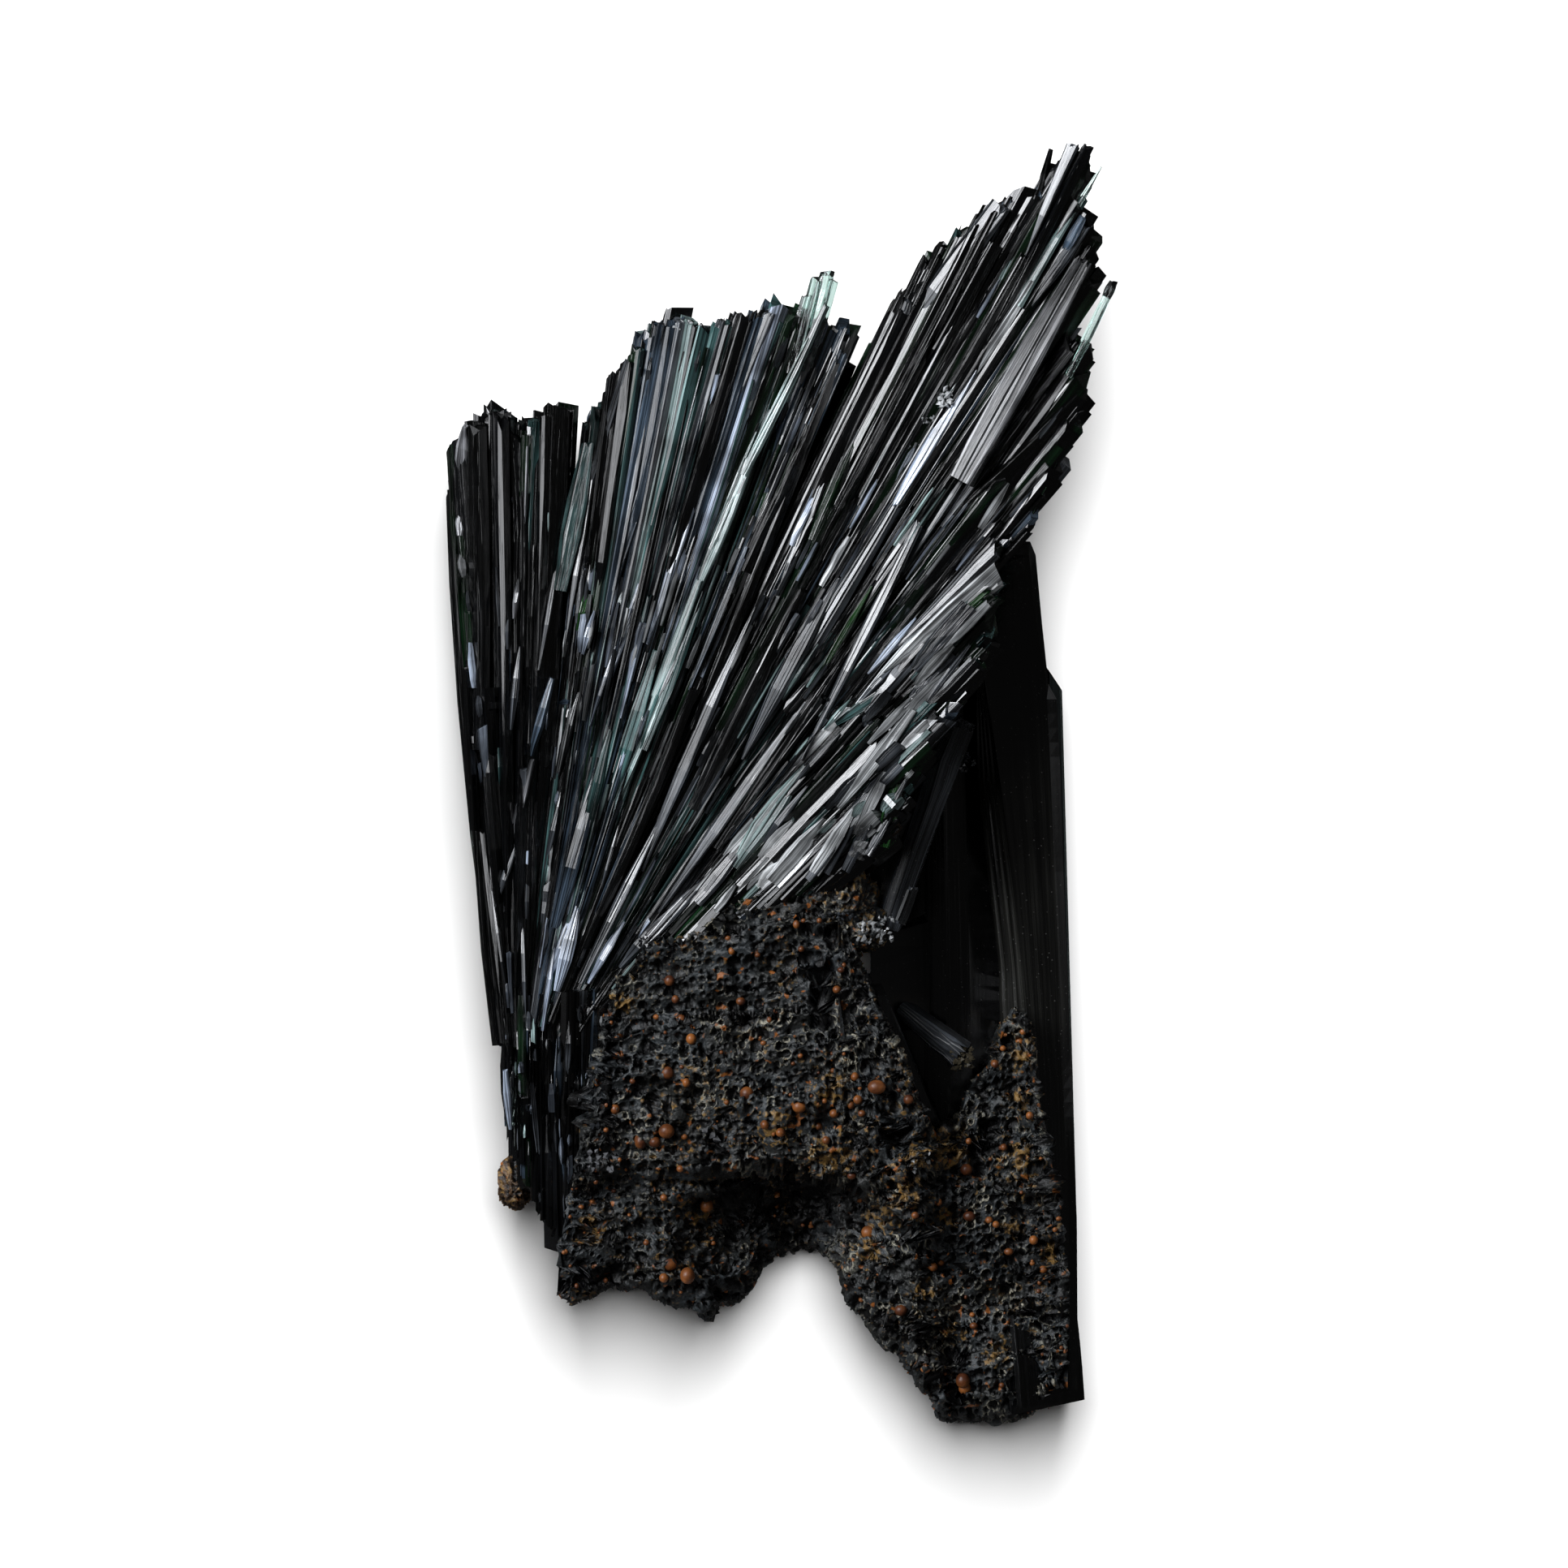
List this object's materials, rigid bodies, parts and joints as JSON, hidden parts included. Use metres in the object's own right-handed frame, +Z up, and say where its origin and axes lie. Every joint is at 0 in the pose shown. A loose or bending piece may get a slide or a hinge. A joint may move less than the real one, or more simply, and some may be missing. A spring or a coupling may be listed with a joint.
{
  "type": "vivianite crystal specimen",
  "caption": "Fan of long dark green-black bladed crystals growing from pitted dark siderite rock, lying on its flat back.",
  "frame": {"origin": "middle of the footprint, on the surface that the specimen lies on", "axes": "+Y from the rock towards the tips of the blades, +Z up out of the flat back, +X to the right seen from above"},
  "size_m": [0.0679, 0.1297, 0.0313],
  "materials": {
    "vivianite_dark": "glassy, near black with deep green and blue where light passes, fine lengthwise striations",
    "vivianite_clear": "clear, pale blue-green, glassy",
    "siderite_matrix": "dark gray-brown, rough, pitted, with tan rims and rusty patches",
    "siderite_spherules": "small orange-brown waxy balls",
    "brown_crust": "dull brown, earthy"
  },
  "bodies": {
    "root": {"matrix_rock": "siderite_matrix", "left_blades": "vivianite_dark", "middle_blades": "vivianite_dark", "right_blades": "vivianite_dark", "lower_blades": "vivianite_dark", "root_blades": "vivianite_dark", "side_prism": "vivianite_dark", "edge_slab": "vivianite_dark", "back_prism": "vivianite_dark", "flank_blade": "vivianite_dark", "stub_crystal": "vivianite_clear", "broken_crystal": "vivianite_clear", "rim_blade": "vivianite_dark", "corner_prism": "vivianite_dark", "brown_crust": "brown_crust"}
  },
  "joints": []
}
